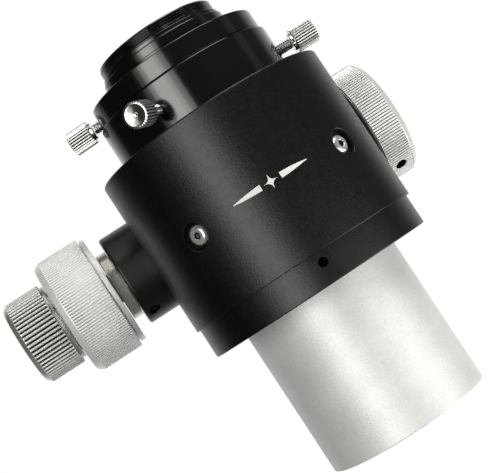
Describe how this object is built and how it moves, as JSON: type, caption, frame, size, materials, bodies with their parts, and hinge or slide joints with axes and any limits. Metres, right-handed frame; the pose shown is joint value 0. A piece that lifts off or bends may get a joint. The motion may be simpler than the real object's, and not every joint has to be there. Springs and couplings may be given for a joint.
{
  "type": "telescope focuser",
  "caption": "Dual-speed friction-drive telescope focuser: knobs roll a drawtube in and out of a round housing; thumb screws clamp the eyepiece and a reducing adapter.",
  "frame": {"origin": "on the optical axis, in the plane of the shoulder that meets the end of the telescope tube", "axes": "+Z along the optical axis towards the eyepiece, +X along the drive shaft towards the single coarse knob, -Y to the front, opposite the drive"},
  "size_m": [0.1463, 0.0946, 0.1474],
  "materials": {
    "satin_black": "satin black anodised, fine grain",
    "gloss_black": "gloss black anodised",
    "blasted_silver": "bead-blasted, clear anodised",
    "satin_silver": "satin, straight-ribbed",
    "nickel": "bright nickel plate",
    "polished_steel": "polished",
    "stainless": "plain stainless steel",
    "dark_steel": "black-oxided steel",
    "brass": "plain brass",
    "white_nylon": "white nylon"
  },
  "bodies": {
    "housing": {"focuser_body": "satin_black", "tube_spigot_ring": "satin_black", "drive_housing": "satin_black", "roller_block_left": "satin_black", "roller_block_right": "satin_black", "roller_screw_left": "stainless", "roller_screw_right": "stainless", "roller_axle_left_lower": "dark_steel", "roller_axle_left_upper": "dark_steel", "roller_axle_right_lower": "dark_steel", "roller_axle_right_upper": "dark_steel", "saddle_screw_1": "dark_steel", "saddle_screw_2": "dark_steel", "saddle_screw_3": "dark_steel", "saddle_screw_4": "dark_steel", "shaft_bearing_left": "stainless", "shaft_bearing_right": "stainless", "pressure_pad": "brass", "tension_screw": "dark_steel", "reducer_case": "polished_steel", "reducer_set_screw": "dark_steel"},
    "drive": {"drive_shaft": "stainless", "reducer_carrier": "dark_steel", "reducer_ball_1": "polished_steel", "reducer_ball_2": "polished_steel", "reducer_ball_3": "polished_steel", "left_coarse_knob": "satin_silver", "right_coarse_knob": "satin_silver", "left_knob_set_screw": "dark_steel", "right_knob_set_screw": "dark_steel"},
    "fine": {"fine_shaft": "stainless", "fine_knob": "nickel", "fine_knob_set_screw": "dark_steel"},
    "drawtube": {"drawtube": "blasted_silver", "travel_stop_screw": "stainless", "eyepiece_holder": "gloss_black", "compression_ring_two_inch": "brass"},
    "adapter": {"reducing_adapter": "gloss_black", "compression_ring_small": "brass"},
    "roller_left_lower": {"roller_left_lower": "stainless"},
    "roller_left_upper": {"roller_left_upper": "stainless"},
    "roller_right_lower": {"roller_right_lower": "stainless"},
    "roller_right_upper": {"roller_right_upper": "stainless"},
    "holder_screw_front_stud": {"holder_screw_front_stud": "stainless"},
    "holder_screw_front_head": {"holder_screw_front_head": "polished_steel"},
    "holder_screw_right_stud": {"holder_screw_right_stud": "stainless"},
    "holder_screw_right_head": {"holder_screw_right_head": "polished_steel"},
    "holder_screw_back_stud": {"holder_screw_back_stud": "stainless"},
    "holder_screw_back_head": {"holder_screw_back_head": "polished_steel"},
    "adapter_screw_stud": {"adapter_screw_stud": "stainless"},
    "adapter_screw_head": {"adapter_screw_head": "polished_steel"},
    "lock_screw_stud": {"lock_screw_stud": "stainless", "lock_pad": "white_nylon"},
    "lock_screw_head": {"lock_screw_head": "polished_steel"}
  },
  "joints": [
    {"name": "coarse_focus_turn", "type": "hinge", "parent": "housing", "child": "drive", "pos_m": [0, 0.02987, 0.02822], "axis": [-1, 0, 0], "range_deg": [0, 859.45]},
    {"name": "fine_focus_turn", "type": "hinge", "parent": "housing", "child": "fine", "pos_m": [0, 0.02987, 0.02822], "axis": [-1, 0, 0], "range_deg": [0, 8594.47]},
    {"name": "drawtube_travel", "type": "slide", "parent": "housing", "child": "drawtube", "axis": [0, 0, 1], "range_m": [0, 0.045]},
    {"name": "adapter_lift", "type": "slide", "parent": "drawtube", "child": "adapter", "axis": [0, 0, 1], "range_m": [0, 0.026]},
    {"name": "roller_left_lower_spin", "type": "hinge", "parent": "housing", "child": "roller_left_lower", "pos_m": [-0.02062, -0.02355, 0.01205], "axis": [0.7524, -0.6587, 0], "range_deg": [0, 736.67]},
    {"name": "roller_left_upper_spin", "type": "hinge", "parent": "housing", "child": "roller_left_upper", "pos_m": [-0.02062, -0.02355, 0.03505], "axis": [0.7524, -0.6587, 0], "range_deg": [0, 736.67]},
    {"name": "roller_right_lower_spin", "type": "hinge", "parent": "housing", "child": "roller_right_lower", "pos_m": [0.02062, -0.02355, 0.01205], "axis": [0.7524, 0.6587, 0], "range_deg": [0, 736.67]},
    {"name": "roller_right_upper_spin", "type": "hinge", "parent": "housing", "child": "roller_right_upper", "pos_m": [0.02062, -0.02355, 0.03505], "axis": [0.7524, 0.6587, 0], "range_deg": [0, 736.67]},
    {"name": "holder_screw_front_advance", "type": "slide", "parent": "drawtube", "child": "holder_screw_front_stud", "axis": [-0.4848, -0.8746, 0], "range_m": [-0.0007, 0.0021]},
    {"name": "holder_screw_front_turn", "type": "hinge", "parent": "holder_screw_front_stud", "child": "holder_screw_front_head", "pos_m": [-0.01823, -0.03289, 0.06195], "axis": [-0.4848, -0.8746, 0], "range_deg": [-360.1, 1080.1]},
    {"name": "holder_screw_right_advance", "type": "slide", "parent": "drawtube", "child": "holder_screw_right_stud", "axis": [0.9998, 0.0175, 0], "range_m": [0, 0.0021]},
    {"name": "holder_screw_right_turn", "type": "hinge", "parent": "holder_screw_right_stud", "child": "holder_screw_right_head", "pos_m": [0.03649, 0.00064, 0.06195], "axis": [0.9998, 0.0175, 0], "range_deg": [0, 1080.1]},
    {"name": "holder_screw_back_advance", "type": "slide", "parent": "drawtube", "child": "holder_screw_back_stud", "axis": [-0.515, 0.8572, 0], "range_m": [0, 0.0021]},
    {"name": "holder_screw_back_turn", "type": "hinge", "parent": "holder_screw_back_stud", "child": "holder_screw_back_head", "pos_m": [-0.0188, 0.03129, 0.06195], "axis": [-0.515, 0.8572, 0], "range_deg": [0, 1080.1]},
    {"name": "adapter_screw_advance", "type": "slide", "parent": "adapter", "child": "adapter_screw_stud", "axis": [-0.9744, 0.225, 0], "range_m": [0, 0.0021]},
    {"name": "adapter_screw_turn", "type": "hinge", "parent": "adapter_screw_stud", "child": "adapter_screw_head", "pos_m": [-0.03215, 0.00742, 0.07345], "axis": [-0.9744, 0.225, 0], "range_deg": [0, 1080.1]},
    {"name": "lock_screw_advance", "type": "slide", "parent": "housing", "child": "lock_screw_stud", "axis": [0, 1, 0], "range_m": [0, 0.0021]},
    {"name": "lock_screw_turn", "type": "hinge", "parent": "lock_screw_stud", "child": "lock_screw_head", "pos_m": [0, 0.0436, 0.045], "axis": [0, 1, 0], "range_deg": [0, 1080.1]}
  ],
  "couplings": [
    {"joint": "coarse_focus_turn", "follows": "drawtube_travel", "rad_per_m": 333.33},
    {"joint": "fine_focus_turn", "follows": "drawtube_travel", "rad_per_m": 3333.3},
    {"joint": "roller_left_lower_spin", "follows": "drawtube_travel", "rad_per_m": 285.71},
    {"joint": "roller_left_upper_spin", "follows": "drawtube_travel", "rad_per_m": 285.71},
    {"joint": "roller_right_lower_spin", "follows": "drawtube_travel", "rad_per_m": 285.71},
    {"joint": "roller_right_upper_spin", "follows": "drawtube_travel", "rad_per_m": 285.71},
    {"joint": "holder_screw_front_turn", "follows": "holder_screw_front_advance", "rad_per_m": 8976},
    {"joint": "holder_screw_right_turn", "follows": "holder_screw_right_advance", "rad_per_m": 8976},
    {"joint": "holder_screw_back_turn", "follows": "holder_screw_back_advance", "rad_per_m": 8976},
    {"joint": "adapter_screw_turn", "follows": "adapter_screw_advance", "rad_per_m": 8976},
    {"joint": "lock_screw_turn", "follows": "lock_screw_advance", "rad_per_m": 8976}
  ]
}
